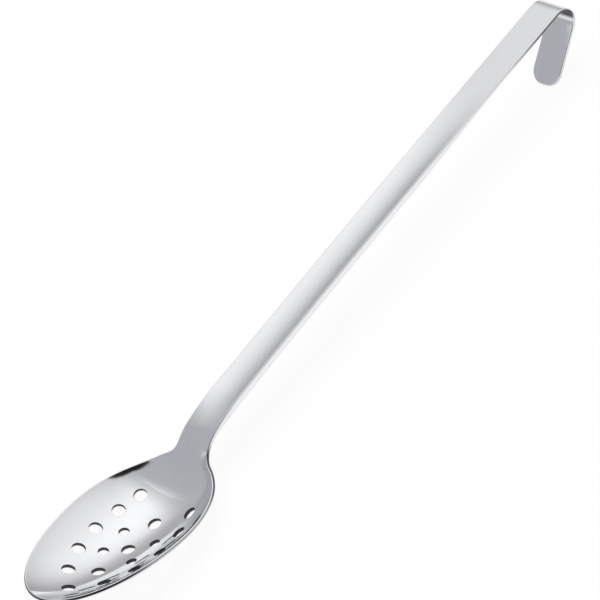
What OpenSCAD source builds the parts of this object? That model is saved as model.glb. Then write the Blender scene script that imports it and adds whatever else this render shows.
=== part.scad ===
// Perforated serving spoon, pressed from one piece of sheet steel, in millimetres.
// X runs along the spoon (bowl at -X, hook at +X), Y across it, Z up out of the bowl.
// It lies as it rests on a table: the belly of the bowl and the end of the hook touch Z = 0.
// The origin is under the middle of the whole spoon.

/* [Sheet] */
// thickness of the sheet
sheet_t = 1.8; // [1.2:0.1:2.5]
// rounding on every cut edge
edge_r = 0.5; // [0.2:0.05:0.6]

/* [Whole spoon] */
// length over everything, before it is laid down
overall_len = 400; // [300:5:500]

/* [Bowl] */
// length from the tip to where the egg of the outline would close
bowl_len = 109; // [80:1:140]
// rim width at the widest place
bowl_w = 69; // [50:1:90]
// depth below the rim
bowl_depth = 14.5; // [8:0.5:25]
// how far from the tip the widest place is, as a share of the length
widest_at = 0.575; // [0.45:0.005:0.65]
// fuller walls and a flatter floor when higher
bowl_fullness = 0.21; // [0:0.01:0.5]
// how square the shoulders near the neck are (2 is an ellipse)
shoulder_square = 1.95; // [1.6:0.05:2.6]
// how soon the floor climbs out towards the neck, as a share of the rim behind the widest place
floor_run = 1.3; // [1:0.05:1.5]

/* [Neck] */
// radius of the hollow corner between the bowl's outline and the neck
neck_fillet = 9; // [4:0.5:16]
// how much wider the neck is on each side where it leaves the bowl
neck_flare = 1.3; // [0.1:0.1:4]
// length over which that extra width dies out along the handle
flare_len = 110; // [30:5:130]
// length of the rim that lies in one plane, as a share of the bowl
rim_flat = 0.832; // [0.6:0.001:1]
// angle between the rim and the handle
rim_tilt = 10.3; // [0:0.1:25]
// steepest rise of the neck above the handle's line
neck_rise = 34; // [10:0.5:45]
// the part of that rise that is lost slowly, in the handle's first stretch
neck_level = 11; // [4:0.5:15]
// radius of the upward bend that leaves the bowl
neck_r_low = 20; // [12:0.5:60]
// radius of the bend at the top of the neck
neck_r_high = 28; // [12:1:80]
// radius of the long curve that then levels out into the handle
level_r = 120; // [60:5:300]

/* [Handle] */
// width of the strip
strip_w = 17; // [13:0.5:24]
// how much the whole handle arches, in degrees of turn
handle_arch = 1.3; // [0.2:0.1:5]
// depth of the shallow hollow down the middle of the handle
groove = 1; // [0.1:0.1:1.5]
// how far the long edges are turned down below the sheet
turn_down = 1.4; // [0.2:0.1:2.5]
// length over which the turned edges grow out of the neck
turn_in = 30; // [15:1:50]
// length over which they die out towards the hook
turn_out = 85; // [40:1:110]
// flat strip left in front of the hook
flat_len = 40; // [25:1:60]

/* [Hook] */
// inside radius of the bend, where the rail sits
hook_r = 6.6; // [4:0.1:12]
// how far the strip is bent round
hook_turn = 143; // [110:1:165]
// straight tongue after the bend, to its very end
tongue_len = 30; // [20:1:45]
// corner radius of the tongue's end
tongue_corner = 7; // [3:0.25:8]

/* [Drain holes] */
// the eleven holes of the ring and the three down the middle
hole_big = 6.6; // [4:0.1:8]
// the four holes between them
hole_small = 5.2; // [3:0.1:7]
// ring: how far each pair is from the tip, as a share of the bowl
ring_at = [0.777, 0.667, 0.532, 0.396, 0.267]; // [0.2:0.001:0.85]
// ring: how far each pair is from the middle, as a share of half the width
ring_off = [0.463, 0.565, 0.606, 0.528, 0.339]; // [0.25:0.001:0.7]
// ring: the one at the tip
ring_tip = 0.159; // [0.12:0.001:0.2]
// how far the holes down the middle are from the tip
mid_at = [0.693, 0.518, 0.334]; // [0.25:0.001:0.8]
// pairs of small holes: how far from the tip
small_at = [0.594, 0.453]; // [0.35:0.001:0.7]
// pairs of small holes: how far from the middle
small_off = [0.29, 0.264]; // [0.2:0.001:0.35]

/* [Hidden] */
$fn = 64;
half_w = strip_w / 2;
bowl_h = bowl_w / 2;
a_tip = bowl_len * widest_at;              // tip to widest place
a_neck = bowl_len - a_tip;                 // widest place to the outline's end
floor_len = a_neck * floor_run;
hook_ro = hook_r + sheet_t;                // outside radius of the hook
tilt = -rim_tilt;                          // heading of the rim, going to the handle

// the long profile is a chain of runs from the tip, each [length, turn]: level rim, soft start of the
// bend up, bend up, bend down at the top of the neck, long curve that levels out, arched handle
function dir(a) = [cos(a), sin(a)];
function up(a) = [-sin(a), cos(a)];
function arc_run(r, turn) = [r * abs(turn) * PI / 180, turn];
function stretch(run, h, along) = run[1] == 0 ? along * dir(h) :
    let (r = run[0] * 180 / (run[1] * PI)) r * (up(h) - up(h + run[1] * along / run[0]));
// start of every run, and the end of the last: [length from the tip, heading, place]
function legs_of(runs, i, s, h, p) = concat([[s, h, p]], i == len(runs) ? [] :
    legs_of(runs, i + 1, s + runs[i][0], h + runs[i][1], p + stretch(runs[i], h, runs[i][0])));
turn_up = rim_tilt + neck_rise + handle_arch;
soft_share = 0.135;                        // this much of the bend up is taken gently
soft = 3;                                  // at so many times the radius
neck_runs = [
    [bowl_len * rim_flat, 0],
    arc_run(soft * neck_r_low, turn_up * soft_share),
    arc_run(neck_r_low, turn_up * (1 - soft_share)),
    arc_run(neck_r_high, neck_level - neck_rise),
    arc_run(level_r, -neck_level)];
neck_end = legs_of(neck_runs, 0, 0, tilt, [0, 0])[len(neck_runs)];
grip_len = overall_len - hook_ro - flat_len - neck_end[2][0];     // the arched part of the handle
runs = concat(neck_runs, [[grip_len, -handle_arch]]);
legs = legs_of(runs, 0, 0, tilt, [0, 0]);
s_low = legs[1][0];
s_high = legs[3][0];
s_flat = legs[len(runs)][0];
seam = 1;                                  // the flat strip takes over this far into the flat
p_tip = -legs[len(runs)][2] - [seam, 0];   // so the seam with the flat strip is at [0, 0]
p_axis = [flat_len - seam, -hook_ro];      // axis of the hook's bend

// heading of the profile and its place, at a length s from the tip
function run_at(s) = len([for (leg = legs) if (leg[0] <= s) 1]) - 1;
function heading(s) = s >= s_flat ? 0 :
    let (i = run_at(s)) legs[i][1] + runs[i][1] * (s - legs[i][0]) / runs[i][0];
function place(s) = s >= s_flat ? [s - s_flat - seam, 0] :
    let (i = run_at(s)) p_tip + legs[i][2] + stretch(runs[i], legs[i][1], s - legs[i][0]);

function clamp01(t) = min(1, max(0, t));
function ease(t) = let (c = clamp01(t)) c * c * (3 - 2 * c);
// half width of the strip at s, flaring towards the bowl
flare_from = 0.92 * bowl_len;
flare_power = 2.5;
function strip(s) = half_w + neck_flare * pow(1 - clamp01((s - flare_from) / flare_len), flare_power);
// half width of the bowl's egg at s
function egg(s) = s < a_tip
    ? bowl_h * sqrt(max(0, 1 - pow((a_tip - s) / a_tip, 2)))
    : bowl_h * pow(1 - pow(min(1, (s - a_tip) / a_neck), shoulder_square), 1 / shoulder_square);
// a hollow corner joins egg and strip: an arc that leaves the strip at c, here after a turn of a
function corner_s(c, a) = c - neck_fillet * sin(a);
function room(c, a) = strip(corner_s(c, a)) + neck_fillet * (1 - cos(a)) - egg(corner_s(c, a));
corner_turns = [for (a = [0 : 0.5 : 89]) a];
function least_room(c) = min([for (a = corner_turns) room(c, a)]);
// it touches the egg where the least room is zero, so the place is found by halving a span
function touch(lo, hi, n) = let (c = (lo + hi) / 2)
    n == 0 ? c : least_room(c) < 0 ? touch(c, hi, n - 1) : touch(lo, c, n - 1);
s_strip = touch(a_tip, bowl_len + 3 * neck_fillet, 30);
touch_turn = [for (a = corner_turns) if (room(s_strip, a) == least_room(s_strip)) a][0];
s_egg = corner_s(s_strip, touch_turn);
// half width of the whole outline at s
function half(s) = s < s_egg ? egg(s) :
    strip(s) + neck_fillet - sqrt(pow(neck_fillet, 2) - pow(max(0, s_strip - s), 2));
// 1 where the handle is hollowed and its edges are turned down, 0 in the bowl and at the hook
function formed(s) = ease((s - s_high) / turn_in) * (1 - ease((s - s_fade) / turn_out));
// height of the sheet's upper face over the profile: the dish of the bowl, the hollow of the handle
function floor_share(s) = s < a_tip ? pow((a_tip - s) / a_tip, 2)
    : 1 - pow(1 - pow(clamp01((s - a_tip) / floor_len), 2), 2);
function lift(s, y) =
    let (f = floor_share(s), v = y / max(half(s), 0.001), q = min(1, f + (1 - f) * v * v))
    -bowl_depth * (1 - q) * (1 + bowl_fullness * q) - groove * formed(s) * (1 - v * v);
function face(s, y) = let (p = place(s) + lift(s, y) * up(heading(s))) [p[0], y, p[1]];
function unit(v) = v / norm(v);
step = 0.02;
function normal(s, y) = unit(cross(face(s + step, y) - face(max(0, s - step), y),
                                   face(s, y + step) - face(s, y - step)));

// the loop of points round the sheet at one station
across = 28;                               // facets across the spoon
inner_leg = sheet_t + 0.1;                 // width of the turned edge
inner_run = 0.5;                           // from the turned edge to the sheet's underside
arc_top = [30, 60, 90];
arc_low = [0, 30, 60, 90];
function snap(v) = round(v * 1000) / 1000;
// the rounded edge of a flat strip: [out from the flat, down from the upper face]
flat_edge = concat(
    [for (a = arc_top) [snap(edge_r * sin(a)), snap(edge_r - edge_r * cos(a))]],
    [for (a = arc_low) [snap(edge_r * cos(a)), snap(sheet_t - edge_r + edge_r * sin(a))]]);
// a point this far in from the outline, square to it
function outward(s) = s < 0.0005 ? [-1, 0] : let (g = (half(s + step) - half(max(0, s - step))) /
    (s + step - max(0, s - step))) unit([-g, 1]);
function inset(s, d) = let (o = outward(s)) [s - d * o[0], max(0, half(s) - d * o[1])];
// right edge (side = -1) or left edge (side = 1): upper corner, side, lower corner, inner leg
function edge(s, side) =
    let (i = inset(s, edge_r), n = normal(i[0], side * i[1]), c0 = face(i[0], side * i[1]),
         o = outward(s), t0 = face(i[0] + step * o[0], side * (i[1] + step * o[1])) - c0,
         out = unit(t0 - (t0 * n) * n), drop = sheet_t + turn_down * formed(s),
         top_c = c0 - edge_r * n, low_c = c0 - (drop - edge_r) * n)
    concat([for (a = arc_top) top_c + edge_r * (sin(a) * out + cos(a) * n)],
           [for (a = arc_low) low_c + edge_r * (cos(a) * out - sin(a) * n)],
           [c0 - (inner_leg - edge_r) * out - drop * n]);
function upper(s) = let (i = inset(s, edge_r))
    [for (j = [0 : across]) face(i[0], i[1] * (1 - 2 * j / across))];
function lower(s) = let (i = inset(s, inner_leg + inner_run))
    [for (j = [0 : across]) let (y = i[1] * (2 * j / across - 1)) face(i[0], y) - sheet_t * normal(i[0], y)];
function flip(v) = [for (k = [len(v) - 1 : -1 : 0]) v[k]];
function ring(s) = concat(upper(s), edge(s, -1), lower(s), flip(edge(s, 1)));
// the same loop in the flat, at the seam, with the very points of the strip's section
flat_y = half_w - edge_r;
low_y = half_w - inner_leg - inner_run;
function seam_edge(side) = concat([for (p = flat_edge) [0, side * (flat_y + p[0]), -p[1]]],
    [[0, side * (half_w - inner_leg), -sheet_t]]);
seam_ring = concat([for (j = [0 : across]) [0, flat_y * (1 - 2 * j / across), 0]], seam_edge(-1),
    [for (j = [0 : across]) [0, low_y * (2 * j / across - 1), -sheet_t]], flip(seam_edge(1)));

// stations along the spoon, in six stretches: round the tip, the rest of the level rim, the upward
// bend, the neck where the edges turn down, the handle, and the stretch where the edges die out
facets = [14, 12, 11, 9, 4, 8];
crowding = 1.3;                            // draws the neck's stations towards the bowl
s_edges = s_high + turn_in;                // the edges are fully turned down from here
s_fade = s_flat - turn_out;                // to here
function shares(n) = [for (k = [1 : n]) k / n];
stations = concat(
    [for (t = shares(facets[0])) a_tip * (1 - cos(90 * t))],
    [for (t = shares(facets[1])) a_tip + (s_low - a_tip) * t],
    [for (t = shares(facets[2])) s_low + (s_high - s_low) * t],
    [for (t = shares(facets[3])) s_high + turn_in * pow(t, crowding)],
    [for (t = shares(facets[4])) s_edges + (s_fade - s_edges) * t],
    [for (t = shares(facets[5])) s_fade + turn_out * t]);
rings = concat([for (s = stations) ring(s)], [seam_ring]);
n_ring = len(rings[0]);
tip_ring = ring(0);

// laying the spoon down: the tongue's end, and the belly, as seen from the side
tongue_top = p_axis + hook_ro * [sin(hook_turn), cos(hook_turn)];
tongue_dir = [cos(hook_turn), -sin(hook_turn)];
tongue_nrm = [sin(hook_turn), cos(hook_turn)];
toe = tongue_top + (tongue_len - edge_r) * tongue_dir;
toe_mid = [toe - edge_r * tongue_nrm, toe - (sheet_t - edge_r) * tongue_nrm];
belly = [for (s = stations) if (s < s_high) let (p = face(s, 0) - sheet_t * normal(s, 0)) [p[0], p[2]]];
function low_toe(e) = let (d = up(-e), a = toe_mid[0] * d, b = toe_mid[1] * d)
    (a < b ? toe_mid[0] : toe_mid[1]) - edge_r * d;
function lean(e, n) = n == 0 ? e : let (t = low_toe(e))
    lean(min([for (p = belly) atan2(p[1] - t[1], t[0] - p[0])]), n - 1);
lie = lean(0, 4);                          // turn about Y that lays both contacts level
function laid(p) = [p[0] * cos(lie) - p[1] * sin(lie), p[0] * sin(lie) + p[1] * cos(lie)];
x_hook = laid(p_axis)[0] + hook_ro;
x_tip = min([for (p = tip_ring) laid([p[0], p[2]])[0]]);
ground = laid(low_toe(lie))[1];

module lay_down() {
    translate([-(x_hook + x_tip) / 2, 0, -ground]) rotate([0, -lie, 0]) children();
}

// bowl, neck and formed handle: one pressed sheet
module pressed_sheet() {
    n = n_ring;
    m = len(rings);
    pts = concat([for (r = rings) each r], tip_ring);
    t0 = m * n;
    // at the tip both edges meet, so the left edge shares the right edge's points
    e = across + 1;
    k = len(flat_edge) + 1;
    function tip_id(j) =
        j < e ? t0 :
        j < e + k ? t0 + j :
        j < 2 * e + k ? t0 + e + k :
        t0 + e + (k - 1 - (j - 2 * e - k));
    function tri(a, b, c) = (a == b || b == c || a == c) ? [] : [[a, b, c]];
    sides = [for (i = [0 : m - 2], j = [0 : n - 1]) let (j2 = (j + 1) % n,
        a = i * n + j, b = i * n + j2, c = a + n, d = b + n) each [[a, c, b], [b, c, d]]];
    nose = [for (j = [0 : n - 1]) let (j2 = (j + 1) % n)
        each concat(tri(tip_id(j), j, tip_id(j2)), tri(tip_id(j2), j, j2))];
    // the flat end, closed with one face
    base = (m - 1) * n;
    cap = [[for (j = [n - 1 : -1 : 0]) base + j]];
    polyhedron(points = pts, faces = concat(sides, nose, cap), convexity = 12);
}

// the strip's own section: [across, up] round a flat sheet with rounded edges
function half_section(side) = [for (p = flat_edge) [side * (flat_y + p[0]), -p[1]]];
section = concat([[flat_y, 0]], half_section(1), flip(half_section(-1)), [[-flat_y, 0]]);
module straight_strip(len) {
    rotate([90, 0, 90]) linear_extrude(height = len) polygon(section);
}
module flat_end() {
    straight_strip(flat_len - seam);
}
// a full ring of the strip, cut square at the handle and at the tongue
reach = hook_ro + strip_w;                 // beyond the ring on every side
module hook_bend() {
    translate([p_axis[0], 0, p_axis[1]]) difference() {
        rotate([90, 180, 0]) rotate_extrude() polygon([for (p = section) [hook_ro + p[1], p[0]]]);
        translate([-reach, -reach, -reach]) cube([reach, 2 * reach, 2 * reach]);
        rotate([0, hook_turn, 0]) translate([0, -reach, -reach]) cube([reach, 2 * reach, 2 * reach]);
    }
}
// the tongue's end, seen from the side: flat faces, one rounded edge
end_points = concat([[0, 0], [tongue_corner - edge_r, 0]],
    [for (p = flat_edge) [tongue_corner - edge_r + p[0], -p[1]]], [[0, -sheet_t]]);
module tongue() {
    body = tongue_len - tongue_corner;
    side = half_w - tongue_corner;
    translate([p_axis[0], 0, p_axis[1]]) rotate([0, hook_turn, 0]) translate([0, 0, hook_ro]) {
        straight_strip(body);
        translate([body, 0, 0]) {
            translate([0, side, 0]) rotate([90, 0, 0]) linear_extrude(height = 2 * side) polygon(end_points);
            translate([0, side, 0]) rotate_extrude(angle = 90) polygon(end_points);
            translate([0, -side, 0]) rotate(-90) rotate_extrude(angle = 90) polygon(end_points);
        }
    }
}
// flat end of the handle, bend and tongue: true planes and cylinders
module hook() {
    flat_end();
    hook_bend();
    tongue();
}

// one drain hole, punched square to the sheet
module punch(s, y, d) {
    p = face(s, y);
    n = normal(s, y);
    translate(p) rotate([0, acos(n[2]), atan2(n[1], n[0])])
        translate([0, 0, -3 * sheet_t]) cylinder(d = d, h = 5 * sheet_t);
}
module drain_holes() {
    for (i = [0 : len(ring_at) - 1], side = [-1, 1])
        punch(ring_at[i] * bowl_len, side * ring_off[i] * bowl_h, hole_big);
    punch(ring_tip * bowl_len, 0, hole_big);
    for (a = mid_at) punch(a * bowl_len, 0, hole_big);
    for (i = [0 : len(small_at) - 1], side = [-1, 1])
        punch(small_at[i] * bowl_len, side * small_off[i] * bowl_h, hole_small);
}

// the whole spoon is one piece of steel
module spoon() {
    color("silver") lay_down() {
        difference() {
            pressed_sheet();
            drain_holes();
        }
        hook();
    }
}

spoon();
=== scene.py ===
# %% [markdown]
# A perforated serving spoon of polished steel
#
# The real thing is one blank of sheet steel: punched with drain holes, pressed into a bowl with a
# raised neck, its long edges turned down along the handle, and its far end bent round into a hook.
# The frame below holds that spoon as a solid at its real size, with flat facets. This script makes
# the same sheet again as a fine, smooth mesh, because polished steel shows every facet in its
# reflections, and then gives it its finish and the studio that it mirrors.

# %% Load the frame
import math
import bpy
import numpy as np
from mathutils import Matrix, Vector
from mathutils.geometry import delaunay_2d_cdt


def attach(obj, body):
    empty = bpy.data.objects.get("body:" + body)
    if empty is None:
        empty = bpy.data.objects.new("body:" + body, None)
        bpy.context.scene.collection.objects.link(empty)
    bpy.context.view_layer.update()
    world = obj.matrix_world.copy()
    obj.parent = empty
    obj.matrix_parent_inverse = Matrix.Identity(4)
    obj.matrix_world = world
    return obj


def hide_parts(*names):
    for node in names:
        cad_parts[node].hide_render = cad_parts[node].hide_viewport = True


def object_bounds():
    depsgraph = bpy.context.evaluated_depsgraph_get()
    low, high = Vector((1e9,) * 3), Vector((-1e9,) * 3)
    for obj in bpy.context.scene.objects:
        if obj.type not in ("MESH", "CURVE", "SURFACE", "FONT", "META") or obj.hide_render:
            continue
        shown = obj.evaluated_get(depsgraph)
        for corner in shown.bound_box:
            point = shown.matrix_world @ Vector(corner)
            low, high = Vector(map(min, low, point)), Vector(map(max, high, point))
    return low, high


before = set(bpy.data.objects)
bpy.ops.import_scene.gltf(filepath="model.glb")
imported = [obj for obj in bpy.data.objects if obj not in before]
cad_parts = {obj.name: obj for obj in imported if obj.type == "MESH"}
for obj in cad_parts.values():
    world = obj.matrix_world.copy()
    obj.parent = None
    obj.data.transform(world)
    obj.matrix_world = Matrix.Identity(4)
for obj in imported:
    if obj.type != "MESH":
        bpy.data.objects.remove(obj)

MM = 0.001                       # the spoon is worked out in millimetres, the scene is in metres
cad_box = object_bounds()
cad_low, cad_high = (np.array(end) / MM for end in cad_box)
print("CAD box in mm:", np.round(cad_low, 2), np.round(cad_high, 2))

# %% [markdown]
# The long profile
#
# Seen from the side the spoon is a chain of straight runs and arcs: the level rim of the bowl, the
# bend up out of it, the bend that levels out, a handle that arches a little, a flat run, the hook's
# bend and the tongue. Anyone could draw it as a spline through points. A chain of runs and arcs is
# chosen instead because that is how the tools of a press are drawn: each bend has one radius, and a
# point on the sheet is found from one number, the length s walked from the tip.

# %% Dimensions of the spoon, in millimetres and degrees
SHEET = 1.8
EDGE = 0.5                       # rounding of every cut edge
OVERALL = 400

BOWL_LEN = 109
BOWL_W = 69
BOWL_DEPTH = 14.5
WIDEST_AT = 0.575                # share of the bowl's length, from the tip
SHOULDER = 1.95                  # how square the egg's shoulders are, where 2 is an ellipse
FULLNESS = 0.21                  # more gives fuller walls and a flatter floor
FLOOR_RUN = 1.3                  # the floor climbs over this share of the length behind the widest place

RIM_FLAT = 0.832                 # share of the bowl's length whose rim lies in one plane
RIM_TILT = 10.3                  # angle between that plane and the handle
NECK_FILLET = 9                  # hollow corner between the bowl's outline and the strip
NECK_FLARE = 1.3                 # how much wider the strip is at the bowl, on each side
FLARE_FROM = 0.92 * BOWL_LEN     # from here on the flare dies out
FLARE_LEN = 110                  # over this length
FLARE_POWER = 2.5                # the higher, the sooner
NECK_RISE = 34                   # steepest rise over the handle's line
NECK_LOW = 20                    # radius of the bend up
SOFT_SHARE = 0.135               # this share of the bend up comes first
SOFT = 3                         # at so many times its radius
NECK_HIGH = 28                   # radius of the bend that levels out
NECK_LEVEL = 11                  # the part of the rise that is lost slowly
LEVEL_R = 120                    # at this radius

STRIP_W = 17
HALF_W = STRIP_W / 2
ARCH = 1.3                       # how far the whole handle bends
GROOVE = 1.0                     # depth of the hollow in the handle's face
TURN_DOWN = 1.4                  # how far the long edges are turned down below the sheet
TURN_IN = 30                     # over this length they grow out of the neck
TURN_OUT = 85                    # and over this one they die out towards the hook
FLAT_LEN = 40                    # flat strip in front of the hook

HOOK_R = 6.6                     # inside the bend
HOOK_OUT = HOOK_R + SHEET
HOOK_TURN = 143
TONGUE_LEN = 30
TONGUE_CORNER = 7
print("sheet of", SHEET, "mm, bowl of", BOWL_LEN, "by", BOWL_W, "mm, strip of", STRIP_W, "mm")


# %% The chain of runs and arcs
class Profile:
    """A chain of straight runs and arcs in the plane of length and height."""

    def __init__(self, heading):
        self.runs = []
        self.s, self.heading, self.place = 0.0, math.radians(heading), np.zeros(2)

    def add(self, length, turn=0.0):
        """Walks on by length while the heading turns by turn degrees."""
        turn = math.radians(turn)
        self.runs.append((self.s, length, turn, self.heading, self.place))
        self.place = self.walk(self.runs[-1], np.array([length]))[0][0]
        self.heading += turn
        self.s += length

    @staticmethod
    def walk(run, along):
        """Places and headings at some lengths from the start of one run."""
        _, length, turn, heading, place = run
        now = heading + turn * along / length
        if turn == 0:
            step = along[:, None] * np.array([math.cos(heading), math.sin(heading)])
        else:
            r = length / turn
            step = r * np.stack([np.sin(now) - math.sin(heading), math.cos(heading) - np.cos(now)], 1)
        return place + step, now

    def at(self, s):
        """Places and headings at the lengths s. Before its start and past its end the chain runs on."""
        s = np.asarray(s, float)
        place, heading = np.zeros((len(s), 2)), np.zeros(len(s))
        starts = [-math.inf] + [run[0] for run in self.runs[1:]] + [math.inf]
        for run, start, end in zip(self.runs, starts, starts[1:]):
            mine = (s >= start) & (s < end)
            place[mine], heading[mine] = self.walk(run, s[mine] - run[0])
        return place, heading


def bend(radius, turn):
    """The length and the turn of a bend."""
    return radius * abs(math.radians(turn)), turn


profile = Profile(-RIM_TILT)
turn_up = RIM_TILT + NECK_RISE + ARCH
profile.add(BOWL_LEN * RIM_FLAT)
profile.add(*bend(SOFT * NECK_LOW, turn_up * SOFT_SHARE))
profile.add(*bend(NECK_LOW, turn_up * (1 - SOFT_SHARE)))
S_HIGH = profile.s
profile.add(*bend(NECK_HIGH, NECK_LEVEL - NECK_RISE))
profile.add(*bend(LEVEL_R, -NECK_LEVEL))
profile.add(OVERALL - HOOK_OUT - FLAT_LEN - profile.place[0], -ARCH)
S_FLAT = profile.s
profile.add(FLAT_LEN)
S_BEND = profile.s
profile.add(*bend(HOOK_OUT, -HOOK_TURN))
profile.add(TONGUE_LEN)
S_END = profile.s
print("developed length", round(S_END, 1), "mm, bend starts at", round(S_BEND, 1))

# %% [markdown]
# The outline and the dish
#
# The blank's outline is an egg that melts into a strip of constant width and ends in a rounded
# tongue. The press then dishes the egg, hollows the handle a little and turns its edges down. Such a
# dish could be pulled out of a coarse grid and subdivided. Formulas of the length s and the width y
# are chosen instead, because a formula gives a true surface normal at every point too, and that is
# what makes the reflections run smoothly over the polished bowl.

# %% Outline
A_TIP = BOWL_LEN * WIDEST_AT
A_NECK = BOWL_LEN - A_TIP
CORNER_HALVINGS = 30             # how often the search for the hollow corner halves its span


def ease(t):
    """Grows smoothly from 0 to 1 while t does."""
    t = np.clip(t, 0, 1)
    return t * t * (3 - 2 * t)


def span(s, start, rise, end, fall):
    """1 between start and end, growing over the length rise and fading over the length fall."""
    return ease((s - start) / rise) * ease((end - s) / fall)


def egg(s):
    """Half the width of the bowl's own outline, an egg that closes at BOWL_LEN."""
    t = np.clip((s - A_TIP) / A_NECK, 0, 1)
    behind = (1 - t ** SHOULDER) ** (1 / SHOULDER)
    ahead = np.sqrt(np.clip(1 - (np.maximum(A_TIP - s, 0) / A_TIP) ** 2, 0, 1))
    return BOWL_W / 2 * behind * ahead


def strip(s):
    """Half the width of the strip, which flares a little towards the bowl."""
    return HALF_W + NECK_FLARE * (1 - np.clip((s - FLARE_FROM) / FLARE_LEN, 0, 1)) ** FLARE_POWER


def corner(c):
    """Where the hollow corner lies that leaves the strip at c, and its room beside the egg."""
    turns = np.radians(np.arange(0, 89.1, 0.5))
    s = c - NECK_FILLET * np.sin(turns)
    return s, strip(s) + NECK_FILLET * (1 - np.cos(turns)) - egg(s)


low, high = A_TIP, BOWL_LEN + 3 * NECK_FILLET
for _ in range(CORNER_HALVINGS):
    S_STRIP = (low + high) / 2
    low, high = (S_STRIP, high) if corner(S_STRIP)[1].min() < 0 else (low, S_STRIP)
S_EGG = corner(S_STRIP)[0][corner(S_STRIP)[1].argmin()]


def half_width(s):
    """Half the width of the blank at s, without the rounded end of the tongue."""
    hollow = NECK_FILLET - np.sqrt(np.maximum(NECK_FILLET ** 2 - np.maximum(S_STRIP - s, 0) ** 2, 0))
    return np.where(s < S_EGG, egg(s), strip(s) + hollow)


print("the hollow corner runs from", round(S_EGG, 2), "to", round(S_STRIP, 2), "mm")

# %% Dish
NARROWEST = 0.001                # keeps the tip, where the blank has no width, from a division by 0
NEAR = 0.02                      # a direction is found from two places so far on either side


def formed(s):
    """1 where the handle is hollowed and its edges are turned down, 0 in the bowl and at the hook."""
    return span(s, S_HIGH, TURN_IN, S_FLAT, TURN_OUT)


def lift(s, y):
    """Height of the upper face over the profile."""
    climb = np.clip((s - A_TIP) / (A_NECK * FLOOR_RUN), 0, 1)
    bottom = np.where(s < A_TIP, ((A_TIP - s) / A_TIP) ** 2, 1 - (1 - climb ** 2) ** 2)
    v = y / np.maximum(half_width(s), NARROWEST)
    q = np.minimum(1, bottom + (1 - bottom) * v * v)
    return -BOWL_DEPTH * (1 - q) * (1 + FULLNESS * q) - GROOVE * formed(s) * (1 - v * v)


def upper_face(s, y):
    """Points of the sheet's upper face."""
    place, heading = profile.at(s)
    rise = lift(s, y)
    return np.stack([place[:, 0] - rise * np.sin(heading), y, place[:, 1] + rise * np.cos(heading)], 1)


def unit(v):
    """Each row at length 1."""
    return v / np.linalg.norm(v, axis=1, keepdims=True)


def slopes(s, y):
    """How the upper face runs along s and across y."""
    along = upper_face(s + NEAR, y) - upper_face(s - NEAR, y)
    across = upper_face(s, y + NEAR) - upper_face(s, y - NEAR)
    return along / (2 * NEAR), across / (2 * NEAR)


def normal(s, y):
    """Directions that stand square on the upper face."""
    return unit(np.cross(*slopes(s, y)))


def face(s, y, depth):
    """The sheet at a depth below its upper face."""
    return upper_face(s, y) - np.reshape(depth, (-1, 1)) * normal(s, y)


deepest = upper_face(np.array([A_TIP]), np.array([0.0]))[0]
rim_line = profile.at([A_TIP])[0][0, 1]
print("the bowl's floor lies", round(rim_line - deepest[2], 2), "mm below its rim line")

# %% [markdown]
# The blank's edge
#
# The blank is stamped out in one stroke, so its edge is one unbroken curve. Equal steps of the length
# s would be simplest, but at the tip, where the curve runs straight across, its points would lie far
# apart. So the outline is sampled finely and then spaced evenly, and no facet is much longer than its
# neighbours. Each point also knows the direction that leads out of the blank, because the rounded
# edge, the turned-down edge and the mesh of each face all start a fixed distance inside it.

# %% Sample the outline
PITCH = 0.95                     # side of a facet
FINE = 4000                      # first samples round the front of the bowl
OUTLINE_NEAR = 0.2               # its direction is taken between two places so far on either side


def sample_outline():
    """Points (s, y) down the right side, round the tongue's end and back, with outward directions."""
    front = A_TIP * (1 - np.cos(np.linspace(0, math.pi / 2, FINE)[1:]))
    s = np.concatenate([front, np.linspace(A_TIP, S_END - TONGUE_CORNER, 4 * FINE)[1:]])
    turns = np.linspace(0, math.pi / 2, FINE // 4)[1:]
    tongue = np.stack([S_END - TONGUE_CORNER * (1 - np.sin(turns)),
                       HALF_W - TONGUE_CORNER * (1 - np.cos(turns))], 1)
    side = np.concatenate([[[0, 0]], np.stack([s, half_width(s)], 1), tongue, [[S_END, 0]]])
    walked = np.concatenate([[0], np.cumsum(np.linalg.norm(np.diff(side, axis=0), axis=1))])

    def walk_to(at):
        at = np.clip(at, 0, walked[-1])
        return np.stack([np.interp(at, walked, side[:, k]) for k in (0, 1)], 1)

    at = np.linspace(0, walked[-1], round(walked[-1] / PITCH) + 1)
    points = walk_to(at)
    run = unit(walk_to(at + OUTLINE_NEAR) - walk_to(at - OUTLINE_NEAR))
    out = np.stack([-run[:, 1], run[:, 0]], 1)
    out[0], out[-1] = (-1, 0), (1, 0)
    mirror = np.array([1, -1])
    back = slice(-2, 0, -1)
    return np.concatenate([points * mirror, points[back]]), np.concatenate([out * mirror, out[back]])


outline, outward = sample_outline()


def inset(distance):
    """The outline moved in by a distance."""
    moved = outline - distance * outward
    moved[0, 1] = moved[len(outline) // 2, 1] = 0
    return moved


print("outline of", len(outline), "points,", round(outline[:, 1].max() * 2, 2), "mm wide")

# %% [markdown]
# The drain holes
#
# Each hole was punched square to the sheet, so its wall is a true cylinder that leans with the wall
# of the bowl. On the curved faces its rim is no circle in s and y. It is found by walking from the
# hole's middle and correcting the step until the point lies at the right distance from the axis.

# %% Place the holes
HOLE_BIG = 6.6
HOLE_SMALL = 5.2
# pairs, as shares of the bowl's length from the tip and of half its width from the middle
RING = [(0.777, 0.463), (0.667, 0.565), (0.532, 0.606), (0.396, 0.528), (0.267, 0.339)]
BETWEEN = [(0.594, 0.29), (0.453, 0.264)]
# single holes down the middle, the ring's own one at the tip first
MIDDLE = [0.159, 0.693, 0.518, 0.334]

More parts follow.
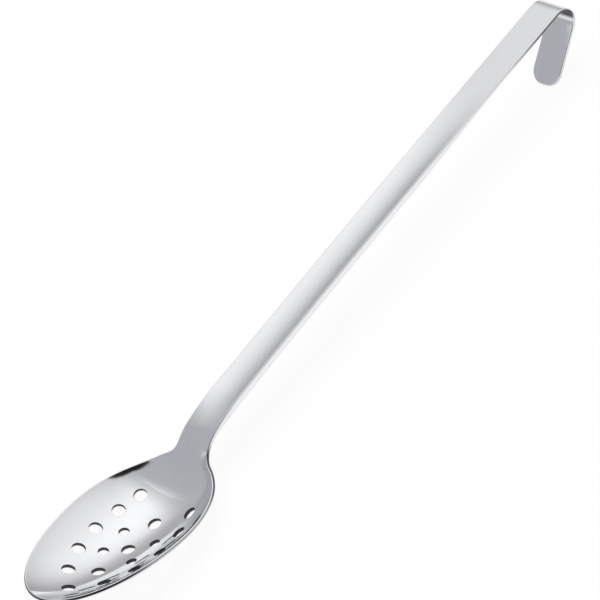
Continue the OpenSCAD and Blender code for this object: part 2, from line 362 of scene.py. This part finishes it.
holes = [(a * BOWL_LEN, side * b * BOWL_W / 2, HOLE_BIG / 2) for a, b in RING for side in (-1, 1)]
holes += [(a * BOWL_LEN, 0.0, HOLE_BIG / 2) for a in MIDDLE]
holes += [(a * BOWL_LEN, side * b * BOWL_W / 2, HOLE_SMALL / 2) for a, b in BETWEEN for side in (-1, 1)]
print(len(holes), "drain holes")

# %% A hole as a cylinder
HOLE_SIDES = 40
CORRECTIONS = 12                 # how often the step to a rim is mended
RIM_ROUND = 0.12                 # a polishing wheel only just breaks the edge of a punched hole


class Hole:
    """A round hole of radius r, punched square to the upper face at (s, y)."""

    def __init__(self, s, y, r):
        self.s, self.y, self.r = s, y, r
        here, there = np.array([s]), np.array([y])
        self.middle = upper_face(here, there)[0]
        self.axis = normal(here, there)[0]
        self.along = unit(slopes(here, there)[0])[0]
        self.across = np.cross(self.axis, self.along)
        turns = np.linspace(0, 2 * math.pi, HOLE_SIDES, endpoint=False)
        self.circle = np.stack([np.cos(turns), np.sin(turns)], 1)
        self.ray = self.circle @ np.stack([self.along, self.across])

    def rim(self, depth, radius):
        """Places (s, y) on the face at that depth that lie at a radius from the hole's axis."""
        goal = radius * self.circle
        place = np.array([self.s, self.y]) + goal
        for _ in range(CORRECTIONS):
            away = face(*place.T, depth) - self.middle
            place += goal - np.stack([away @ self.along, away @ self.across], 1)
        return place


punched = [Hole(*hole) for hole in holes]
steepest = max(math.degrees(math.acos(hole.axis[2])) for hole in punched)
print("the steepest hole leans by", round(steepest, 1), "degrees")

# %% [markdown]
# One face as a mesh
#
# A grid of squares would leave ragged steps along the outline and round the holes, and cutting the
# holes with a boolean would leave long thin facets that show as scratches in a mirror finish. So
# each face is filled with a honeycomb of points, kept a little away from its edges, and joined into
# near-equal triangles by Blender's constrained Delaunay call. The holes are kept free in the same
# step.

# %% Honeycomb of points
EDGE_ROOM = 0.62 * PITCH         # no point lies nearer than this to an edge
CHUNK = 64                       # edge points that are measured at a time, which spares memory
RIM_INSIDE = 0.999               # a rim's own size, less a trifle


def inside(points, loop):
    """Which points lie inside a loop that is the same on both sides of y = 0."""
    right = loop[: len(loop) // 2 + 1]
    return np.abs(points[:, 1]) < np.interp(points[:, 0], right[:, 0], -right[:, 1])


def honeycomb(loop, rims):
    """Points inside the outline loop and outside the rims."""
    rows = np.arange(loop[:, 0].min(), loop[:, 0].max(), PITCH * math.sqrt(3) / 2)
    reach = math.ceil(loop[:, 1].max() / PITCH) + 1
    columns = np.arange(-reach, reach + 1) * PITCH
    s, y = np.meshgrid(rows, columns, indexing="ij")
    y = y + np.where(np.arange(len(rows)) % 2, PITCH / 2, 0)[:, None]
    points = np.stack([s.ravel(), y.ravel()], 1)
    points = points[inside(points, loop)]
    clear = np.ones(len(points), bool)
    for edge in [loop, *rims]:
        for chunk in np.array_split(edge, max(1, len(edge) // CHUNK)):
            far = np.linalg.norm(points[:, None] - chunk[None], axis=2).min(1)
            clear &= far > EDGE_ROOM
    for rim in rims:
        middle = rim.mean(0)
        radius = np.linalg.norm(rim - middle, axis=1).max()
        clear &= np.linalg.norm(points - middle, axis=1) > radius * RIM_INSIDE
    return points[clear]


print("facets of about", PITCH, "mm")

# %% Fill a face
FILL_INSIDE = 1                  # the Delaunay call's own number for: keep what the loops enclose
SAME_POINT = 1e-7                # points nearer than this are one


def fill(loop, rims):
    """Places (s, y) and triangles of one face. The loop's points come first, then each rim's."""
    rings = [loop, *rims]
    free = honeycomb(loop, rims)
    places = np.concatenate([*rings, free])
    # the number of the rim that a point lies on, or -1 for the outline and the free points
    rim_of = np.repeat([-1, *range(1, len(rings)), -1], [*map(len, rings), len(free)])
    edges, start = [], 0
    for ring in rings:
        edges += [(start + k, start + (k + 1) % len(ring)) for k in range(len(ring))]
        start += len(ring)
    found = delaunay_2d_cdt([Vector(p) for p in places], edges, [], FILL_INSIDE, SAME_POINT, True)
    source = [ids[0] if ids else -1 for ids in found[3]]
    triangles = np.array([[source[v] for v in f] for f in found[2]])
    in_hole = (rim_of[triangles] > 0).all(1) & (np.ptp(rim_of[triangles], axis=1) == 0)
    outside = ~inside(places[triangles].mean(1), loop)
    return places, triangles[~(in_hole | outside)]


# %% [markdown]
# Where the steel stays dull, and where shade and highlight are painted on
#
# No polishing wheel reaches the punched walls or the inside of the hook's bend, so they are rough,
# and their colour is painted nearly black as painted shade. The narrow cut edge keeps the punch's
# break round the bowl and beside the hook and is painted dark there as painted shade, less so where
# the bowl's sides were buffed. The handle's turned-down sides are buffed smoother than its face and
# painted lighter, a painted highlight. Painting that on would need a picture laid over the sheet. A
# number at each point of the mesh does the same: 1 is raw and painted dark, 0 is polished, and below
# 0 it is buffed and painted light.

# %% How raw the steel is, and where shade and highlight are painted
EDGE_RAW_SHADE = 0.92
BEND_RAW_SHADE = 0.95
# the buffed share also takes away that much of the edge's painted shade
BUFF_SHADE_SHARE = 0.6                 # how much of the raw edge is gone where the bowl's sides were buffed
# where a stretch starts, over what length it grows, where it ends and over what length it fades
BOWL_BUFFED_LESS_SHADE = (30, 15, 96, 12)
HOOK_RAW_SHADE_SPAN = (S_BEND - 45, 35, S_BEND + 18, 8)
BEND_RAW_SHADE_SPAN = (S_BEND + 1, 3, S_BEND + 16.5, 3)
BOWL_RAW_SHADE_END = S_STRIP + 6
BOWL_RAW_SHADE_FADE = 10


def raw_edge(s):
    """How raw the cut edge is, where it is also painted dark as painted shade, and below 0 how well it is
    buffed and painted light as a painted highlight.
    """
    bowl = ease((BOWL_RAW_SHADE_END - s) / BOWL_RAW_SHADE_FADE) * (1 - BUFF_SHADE_SHARE * span(s, *BOWL_BUFFED_LESS_SHADE))
    return EDGE_RAW_SHADE * (bowl + span(s, *HOOK_RAW_SHADE_SPAN)) - formed(s)


def raw_bend(s):
    """How raw the lower face is, which lies inside the bend, where it is also painted dark as painted
    shade.
    """
    return BEND_RAW_SHADE * span(s, *BEND_RAW_SHADE_SPAN)


for name, s in (("at the tip", 0), ("beside the bowl", 60), ("along the handle", 230)):
    print("the cut edge", name, "is raw by", round(float(raw_edge(s)), 2))

# %% [markdown]
# Joining the two faces
#
# Sheet steel shows its thickness at the cut edge and in the punched walls. A Solidify modifier gives a
# thickness too, but no rounded corners and no edge that is turned down deeper than the sheet. So the
# upper and the lower face are sewn together along the outline and through every hole by bands of
# quads. The band along the outline rounds the upper corner, runs down the cut edge, rounds the lower
# corner and steps up from the turned-down edge to the underside of the sheet. The band in a hole is a
# short rounded rim, the punched wall and a rounded rim again.

# %% The two faces
LEG = SHEET + 0.1                # width of the turned-down edge
LEG_RUN = 0.5                    # over this width it meets the underside


class Sheet:
    """Collects the points, normals and faces of the whole spoon, and how raw each point is, which also says
    where shade or highlight is painted.
    """

    def __init__(self):
        self.points, self.normals, self.raw, self.faces, self.count = [], [], [], [], 0

    def add(self, points, normals=None, raw=0.0):
        """Adds points and returns the number of the first. Without normals Blender works them out."""
        first = self.count
        self.points.append(points)
        self.normals.append(np.zeros_like(points) if normals is None else normals)
        self.raw.append(np.zeros(len(points)) + raw)
        self.count += len(points)
        return first

    def band(self, first, last, rows, raw, order=1):
        """Quads from the ring that starts at first, over rows of new points, to the ring at last."""
        starts = [first] + [self.add(row, raw=share) for row, share in zip(rows, raw)] + [last]
        n = len(rows[0])
        for a, b in zip(starts, starts[1:]):
            self.faces += [(a + k, b + k, b + (k + 1) % n, a + (k + 1) % n)[::order] for k in range(n)]


sheet = Sheet()
firsts = []
for depth, distance, order in ((0.0, EDGE, 1), (SHEET, LEG + LEG_RUN, -1)):
    places, triangles = fill(inset(distance), [hole.rim(depth, hole.r + RIM_ROUND) for hole in punched])
    s, y = places.T
    # the lower face inside the hook's bend is painted dark, as painted shade
    raw = raw_bend(s) if depth else 0.0
    firsts.append(sheet.add(face(s, y, depth), order * normal(s, y), raw))
    sheet.faces += [tuple(firsts[-1] + v for v in t[::order]) for t in triangles.tolist()]
    print("face at depth", depth, "has", len(triangles), "triangles")

# %% The band along the outline
CORNER_STEPS = 5
LEG_ROWS = (0.55, 1, 1.06, 1.12, 1.18, 1.24)   # rows below the turned-down edge and beside it, in LEGs


def edge_rows():
    """Rows of points from the upper face's edge to the lower face's edge, and how raw each row is, which
    also sets its painted shade or highlight.
    """
    s, y = inset(EDGE).T
    middle, up = upper_face(s, y), normal(s, y)
    out = upper_face(s + NEAR * outward[:, 0], y + NEAR * outward[:, 1]) - middle
    out = unit(out - (out * up).sum(1, keepdims=True) * up)
    drop = (SHEET + TURN_DOWN * formed(s))[:, None]
    turns = np.linspace(0, math.pi / 2, CORNER_STEPS + 1)
    rows = [middle - EDGE * up + EDGE * (math.sin(a) * out + math.cos(a) * up) for a in turns[1:]]
    rows += [middle - (drop - EDGE) * up + EDGE * (math.cos(a) * out - math.sin(a) * up) for a in turns]
    # the cut edge's rows and the lower face in the bend carry the mark of painted shade, or of painted
    # highlight below 0
    raw = [0.0] * (CORNER_STEPS - 1) + [raw_edge(s)] * 2 + [raw_bend(s)] * CORNER_STEPS
    for share in LEG_ROWS:
        distance = LEG * share
        s, y = inset(distance).T
        turned = TURN_DOWN * formed(s) * (1 - ease((distance - LEG) / LEG_RUN))
        rows.append(face(s, y, SHEET + turned))
        raw.append(raw_bend(s))
    return rows, raw


rows, raw = edge_rows()
sheet.band(*firsts, rows, raw)
print("the edge is", len(rows), "rows of", len(rows[0]), "points")

# %% The bands through the holes
RIM_STEPS = (0.25, 0.5, 0.75, 1)


def rim_rows(hole, upper, lower):
    """Rows of points through a hole, from its rim on the upper face to its rim on the lower face."""
    halves = []
    for start, sign in ((upper, 1), (lower, -1)):
        height = (start - hole.middle) @ hole.axis
        sharp = hole.middle + hole.r * hole.ray + np.outer(height, hole.axis)
        wall = sharp - sign * RIM_ROUND * hole.axis
        halves.append([(1 - t) ** 2 * start + 2 * t * (1 - t) * sharp + t * t * wall for t in RIM_STEPS])
    return halves[0] + halves[1][::-1]


for k, hole in enumerate(punched):
    first = len(outline) + k * HOLE_SIDES
    rows = rim_rows(hole, *(points[first:first + HOLE_SIDES] for points in sheet.points[:2]))
    # the punched walls are fully raw: rough, and painted nearly black as painted shade
    sheet.band(firsts[0] + first, firsts[1] + first, rows, [1.0] * len(rows), order=-1)

points = np.concatenate(sheet.points)
print(len(points), "points,", len(sheet.faces), "faces")

# %% [markdown]
# Laying the spoon down
#
# On a table the spoon touches at two places: the belly of the bowl and the end of the tongue. The
# angle between them depends on the dish and the hook, so it is searched for: the spoon is tipped
# until both ends are equally low. Then its middle goes over the origin. The frame's own box must
# come out the same, and the difference is printed.

# %% Lay it down
LEAN_MOST = 10                   # degrees that are searched, either way
LEAN_HALVINGS = 50


def tipped(p, angle):
    """Points or directions turned about Y."""
    c, s = math.cos(angle), math.sin(angle)
    return np.stack([p[:, 0] * c - p[:, 2] * s, p[:, 1], p[:, 0] * s + p[:, 2] * c], 1)


def lean(p):
    """The angle at which the bowl's half and the hook's half reach equally low."""
    middle = (p[:, 0].min() + p[:, 0].max()) / 2
    bowl, hook = p[p[:, 0] < middle], p[p[:, 0] > middle]
    low, high = math.radians(-LEAN_MOST), math.radians(LEAN_MOST)
    for _ in range(LEAN_HALVINGS):
        angle = (low + high) / 2
        if tipped(bowl, angle)[:, 2].min() > tipped(hook, angle)[:, 2].min():
            low = angle
        else:
            high = angle
    return angle


lie = lean(points)
laid = tipped(points, lie)
shift = -np.array([(laid[:, 0].min() + laid[:, 0].max()) / 2, 0, laid[:, 2].min()])
laid += shift
print("it lies at", round(math.degrees(lie), 3), "degrees; box off by",
      np.round(laid.min(0) - cad_low, 3), np.round(laid.max(0) - cad_high, 3), "mm")

# %% Make the object
mesh = bpy.data.meshes.new("pressed_spoon")
mesh.from_pydata((laid * MM).tolist(), [], sheet.faces)
mesh.polygons.foreach_set("use_smooth", [True] * len(mesh.polygons))
mesh.update()
mesh.normals_split_custom_set_from_vertices(tipped(np.concatenate(sheet.normals), lie).tolist())
# the mark: above 0 rough and painted dark as painted shade, below 0 smoother and painted light as a painted
# highlight
mesh.attributes.new("raw", "FLOAT", "POINT").data.foreach_set("value", np.concatenate(sheet.raw))
spoon = bpy.data.objects.new("pressed_spoon", mesh)
bpy.context.scene.collection.objects.link(spoon)
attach(spoon, "root")
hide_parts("spoon")
print(spoon.name, "measures", [round(side / MM, 2) for side in spoon.dimensions], "mm")

# %% [markdown]
# The camera
#
# The photograph was taken from far away with a long lens: the spoon's two ends are drawn at almost
# the same scale. The turn below leads from the spoon's own directions to the picture's right, down
# and depth. It was found by matching the spoon's outline and holes to the photograph. The camera
# stands back along the depth, so far that one millimetre is about two pixels everywhere. Aiming it
# at the spoon's middle would be simpler, but the photograph's middle lies elsewhere. So one point is
# held at the pixel where the photograph shows it, and the lens needs no shift.

# %% Camera
PIXELS = 600                     # the photograph is a square
CAMERA_TURN = Vector((1.98333672, -1.12846529, 0.01900159))   # axis times angle
CREST_PIXEL = (544.271, 9.238)   # where the middle of the strip starts to bend into the hook
PIXELS_PER_MM = 2.12547
CAMERA_FAR = 6362.4              # mm from the camera to that point
SENSOR = 36                      # mm
SIGHT = 50                       # how many metres far the camera sees


def put_camera(crest):
    """Stands the camera so that the point crest, in metres, is seen at CREST_PIXEL."""
    turn = Matrix.Rotation(CAMERA_TURN.length, 3, CAMERA_TURN.normalized())
    right, down, depth = turn @ Matrix.Rotation(lie, 3, "Y")
    offset = [(p - PIXELS / 2) / PIXELS_PER_MM * MM for p in CREST_PIXEL]
    spot = crest - right * offset[0] - down * offset[1] - depth * CAMERA_FAR * MM
    data = bpy.data.cameras.new("camera")
    data.sensor_width = data.sensor_height = SENSOR
    data.lens = SENSOR * PIXELS_PER_MM * CAMERA_FAR / PIXELS
    data.clip_end = SIGHT
    camera = bpy.data.objects.new("camera", data)
    stand = Matrix((right, -down, -depth)).transposed().to_4x4()
    camera.matrix_world = Matrix.Translation(spot) @ stand
    bpy.context.scene.collection.objects.link(camera)
    bpy.context.scene.camera = camera
    print("lens", round(data.lens), "mm, standing at", [round(v, 3) for v in spot])


put_camera(Vector(tipped(upper_face(np.array([S_BEND]), np.array([0.0])), lie)[0] + shift) * MM)

# %% [markdown]
# Writing shaders as sums
#
# Every finish below is a few lines of arithmetic on coordinates. Made node by node and link by link,
# each line would grow to ten and hide its meaning. So a small class wraps a socket, and a plus or a
# times in Python adds the Math node that does it. All other nodes come from one method.

# %% Shader arithmetic
class Value:
    """A number in a shader, as the socket that carries it."""

    def __init__(self, tree, socket):
        self.tree, self.socket = tree, socket

    def __add__(self, other):
        return self.tree.math("ADD", self, other)

    def __radd__(self, other):
        return self.tree.math("ADD", other, self)

    def __sub__(self, other):
        return self.tree.math("SUBTRACT", self, other)

    def __rsub__(self, other):
        return self.tree.math("SUBTRACT", other, self)

    def __mul__(self, other):
        return self.tree.math("MULTIPLY", self, other)

    def __rmul__(self, other):
        return self.tree.math("MULTIPLY", other, self)

    def step(self, start, end):
        """0 before start, 1 after end, smooth between."""
        settings = {"interpolation_type": "SMOOTHSTEP"}
        return self.tree.node("ShaderNodeMapRange", settings, self, start, end, 0.0, 1.0)[0]


class Tree:
    """The node tree of a material or a world, emptied first."""

    def __init__(self, owner):
        owner.use_nodes = True
        self.nodes, self.links = owner.node_tree.nodes, owner.node_tree.links
        self.nodes.clear()

    def node(self, kind, settings=None, *values, **named):
        """Makes a node: its type, its settings, then its sockets in order or by name."""
        made = self.nodes.new(kind)
        for key, value in (settings or {}).items():
            setattr(made, key, value)
        by_name = [(key.replace("_", " "), value) for key, value in named.items()]
        for key, value in [*enumerate(values), *by_name]:
            if isinstance(value, Value):
                self.links.new(value.socket, made.inputs[key])
            elif value is not None:
                made.inputs[key].default_value = value
        return [Value(self, socket) for socket in made.outputs]

    def math(self, operation, *values):
        """One Math node, for what the operators above don't say."""
        return self.node("ShaderNodeMath", {"operation": operation}, *values)[0]

    def colour_mix(self, factor, first, second):
        """The first colour where the factor is 0, the second where it is 1."""
        return self.node("ShaderNodeMix", {"data_type": "RGBA"}, factor, *[None] * 5, first, second)[2]


# %% [markdown]
# Steel
#
# The bowl is polished to a mirror, and the handle is only satin, with the fine lines of the belt
# running along it. Two materials would meet in a line that the real steel hasn't, so one carries
# both: a mask grows from the bowl over the neck to the handle, and roughness, shade and the depth of
# the lines follow it. The mark that the mesh carries then makes the raw places dull and paints them
# dark, as painted shade, and makes the buffed ones smoother and paints them light, as a painted
# highlight.

# %% Steel material
SATIN_FROM, SATIN_TO = -0.128, -0.096    # metres along the spoon, from its middle
SATIN_LAG = 0.6                  # beside the middle line it comes so much later for each metre
LINES_EACH_WAY = (12, 1100, 12)  # per metre along the handle, across it and up
CLOUDS = 60.0                    # per metre
DARK_STEEL = (0.70, 0.705, 0.72, 1)
LIGHT_STEEL = (0.88, 0.885, 0.90, 1)
# painted shade: the near-black colour of the raw walls, the cut edge and the inside of the bend
PAINTED_SHADE_STEEL = (0.07, 0.07, 0.075, 1)
ROUGH_POLISHED = 0.06            # roughness of the polished bowl, and what is added to it elsewhere
ROUGH_SATIN = 0.08
ROUGH_LINES = 0.10
ROUGH_CLOUDS = 0.02
ROUGH_RAW = 0.3
ROUGH_BUFFED = -0.06
SHADE_POLISHED = 0.68            # how far from dark to light the bowl's steel is, and what is added
SHADE_SATIN = -0.32
SHADE_LINES = 0.5
SHADE_CLOUDS = 0.2
# painted highlight: how much lighter the buffed sides are painted
PAINTED_HIGHLIGHT_BUFFED = 0.6


def steel_finish():
    """The one material of the whole spoon."""
    material = bpy.data.materials.new("polished_steel")
    tree = Tree(material)
    place = tree.node("ShaderNodeTexCoord")[3]
    x, y, _ = tree.node("ShaderNodeSeparateXYZ", None, place)
    satin = (x - SATIN_LAG * tree.math("ABSOLUTE", y)).step(SATIN_FROM, SATIN_TO)
    # the mark from the mesh: above 0 rough and painted dark, below 0 smoother and painted light
    mark = tree.node("ShaderNodeAttribute", {"attribute_name": "raw"})[2]
    raw = tree.math("MAXIMUM", mark, 0.0)
    buffed_with_highlight = tree.math("MAXIMUM", 0.0 - mark, 0.0)

    lines_at = tree.node("ShaderNodeMapping", None, place, Scale=LINES_EACH_WAY)[0]
    lines = tree.node("ShaderNodeTexNoise", None, lines_at, Scale=1.0, Detail=3.0, Roughness=0.6)[0]
    clouds = tree.node("ShaderNodeTexNoise", None, place, Scale=CLOUDS, Detail=2.0)[0]
    roughness = ROUGH_POLISHED + satin * (ROUGH_SATIN + ROUGH_LINES * lines) + ROUGH_CLOUDS * clouds
    roughness = roughness + ROUGH_RAW * raw + ROUGH_BUFFED * buffed_with_highlight
    shade = SHADE_POLISHED + SHADE_SATIN * satin + SHADE_LINES * (lines - 0.5) * satin
    # painted highlight on the buffed sides
    shade = shade + SHADE_CLOUDS * (clouds - 0.5) + PAINTED_HIGHLIGHT_BUFFED * buffed_with_highlight
    bump = tree.node("ShaderNodeBump", None, Strength=0.15, Distance=0.00002, Height=lines * satin)[0]

    polished = tree.colour_mix(shade, DARK_STEEL, LIGHT_STEEL)
    # painted shade: the raw places are tinted towards near-black
    tint = tree.colour_mix(raw, polished, PAINTED_SHADE_STEEL)
    shader = tree.node("ShaderNodeBsdfPrincipled", None, Base_Color=tint, Metallic=1.0,
                       Roughness=roughness, Normal=bump)[0]
    tree.node("ShaderNodeOutputMaterial", None, shader)
    return material


steel = steel_finish()
mesh.materials.append(steel)
print(steel.name, "is made of", len(steel.node_tree.nodes), "nodes")

# %% [markdown]
# The studio
#
# Polished steel has no look of its own: it shows the room. The spoon was taken on white with a big
# soft light on the left, a second one overhead, a dim room ahead, a grey wall behind the bowl's tip,
# and darkness round the camera. A low grey card far behind the spoon shades the handle's right side.
# Real lamps and boards could stand there instead. The world is chosen because each card can then be
# aimed by the direction that the bowl mirrors, which is how they were found. The camera itself sees
# plain white past the table.

# %% World
# a card: its bearing from +X towards +Y, its height over the table, how far from its middle it is
# full and where it has faded out, all in degrees
AHEAD = (-8.2, 2.2, 76.2, 90.6)         # the room on the hook's side
WINDOW = (82.7, 39.3, 0, 79)            # the light on the left
SOFTBOX = (-1.8, 54.8, 0, 61.3)         # the light overhead
DARKNESS = (-112, 41, 27.5, 29.5)       # round the camera
GREY_CARD = (58, 14, 8, 24)
WALL_LEVEL = 0.53
ROOM_DROP = 0.2                  # how much dimmer than the wall the room ahead is
WINDOW_LEVEL = 0.29              # what a light adds to the room
SOFTBOX_LEVEL = 0.606
DARKNESS_SHADE = 0.974           # the share of the light that a card takes away
GREY_SHADE = 0.2
WALL_TINT = (0.965, 0.98, 1.03, 1)
WHITE = (1, 1, 1, 1)


def card(tree, direction, bearing, height, full, faded):
    """1 within full degrees of the card's middle, 0 beyond faded degrees."""
    a, e = math.radians(bearing), math.radians(height)
    aim = (math.cos(e) * math.cos(a), math.cos(e) * math.sin(a), math.sin(e))
    near = tree.node("ShaderNodeVectorMath", {"operation": "DOT_PRODUCT"}, direction, aim)[1]
    return near.step(math.cos(math.radians(faded)), math.cos(math.radians(full)))


def studio_world():
    """Everything that the steel mirrors, apart from the table."""
    world = bpy.data.worlds.new("studio")
    bpy.context.scene.world = world
    tree = Tree(world)
    direction = tree.node("ShaderNodeTexCoord")[0]
    ahead = card(tree, direction, *AHEAD)
    lights = WINDOW_LEVEL * card(tree, direction, *WINDOW) + SOFTBOX_LEVEL * card(tree, direction, *SOFTBOX)
    level = WALL_LEVEL + ahead * (lights - ROOM_DROP)
    level = level * (1 - DARKNESS_SHADE * card(tree, direction, *DARKNESS))
    level = level * (1 - GREY_SHADE * card(tree, direction, *GREY_CARD))
    tint = tree.colour_mix(ahead, WALL_TINT, WHITE)
    glow = tree.node("ShaderNodeBackground", None, tint, level)[0]
    white = tree.node("ShaderNodeBackground", None, WHITE, 1.0)[0]
    camera_ray = tree.node("ShaderNodeLightPath")[0]
    both = tree.node("ShaderNodeMixShader", None, camera_ray, glow, white)[0]
    tree.node("ShaderNodeOutputWorld", None, both)
    print("the studio is made of", len(tree.nodes), "nodes")


studio_world()

# %% [markdown]
# The table
#
# The picture's ground is plain white with hardly a shadow. A white board under a lamp would turn
# grey towards its edges, so most of the board's white is its own glow: nearly all for the camera,
# about half for the metal. The rest is plain matt white, which keeps a faint shadow of the spoon.

# %% Floor
TABLE_HALF = 6                   # metres
TABLE_DROP = 0.0002              # metres below the spoon, so that the two faces never coincide
GLOW_SEEN = 0.93
GLOW_MIRRORED = 0.55
MATT_WHITE = (0.9, 0.9, 0.9, 1)


def floor():
    """The table under the spoon."""
    corners = [(x * TABLE_HALF, y * TABLE_HALF, 0) for x, y in ((-1, -1), (1, -1), (1, 1), (-1, 1))]
    data = bpy.data.meshes.new("floor")
    data.from_pydata(corners, [], [(0, 1, 2, 3)])
    board = bpy.data.objects.new("floor", data)
    board.location.z = -TABLE_DROP
    bpy.context.scene.collection.objects.link(board)
    material = bpy.data.materials.new("white_table")
    tree = Tree(material)
    rays = tree.node("ShaderNodeLightPath")
    camera_ray, glossy_ray, transmission_ray = rays[0], rays[3], rays[6]
    seen = GLOW_SEEN * tree.math("MAXIMUM", camera_ray, transmission_ray)
    glow = tree.math("MAXIMUM", seen, GLOW_MIRRORED * glossy_ray)
    matt = tree.node("ShaderNodeBsdfDiffuse", None, MATT_WHITE)[0]
    white = tree.node("ShaderNodeEmission", None, WHITE, 1.0)[0]
    both = tree.node("ShaderNodeMixShader", None, glow, matt, white)[0]
    tree.node("ShaderNodeOutputMaterial", None, both)
    data.materials.append(material)
    print("white table,", 2 * TABLE_HALF, "m wide")


floor()

# %% [markdown]
# The lamp
#
# The world alone lights the board evenly. One broad lamp overhead adds the soft shadow. It could have
# been a card too, but a lamp can be kept out of the reflections, so that the bowl still mirrors only
# the plain cards.

# %% Lamp
def lamp(name, spot, size, power):
    """A square lamp at a spot in metres, aimed at the origin."""
    data = bpy.data.lights.new(name, "AREA")
    data.size = size
    data.energy = power
    light = bpy.data.objects.new(name, data)
    light.location = spot
    light.rotation_euler = (-Vector(spot)).to_track_quat("-Z", "Y").to_euler()
    light.visible_glossy = False
    bpy.context.scene.collection.objects.link(light)
    print(name, "of", power, "W")


lamp("top_softbox", spot=(0.2, 0.3, 1.8), size=1.6, power=20)
# the white of the photograph is plain white, so no film curve may grey it
bpy.context.scene.view_settings.view_transform = "Standard"
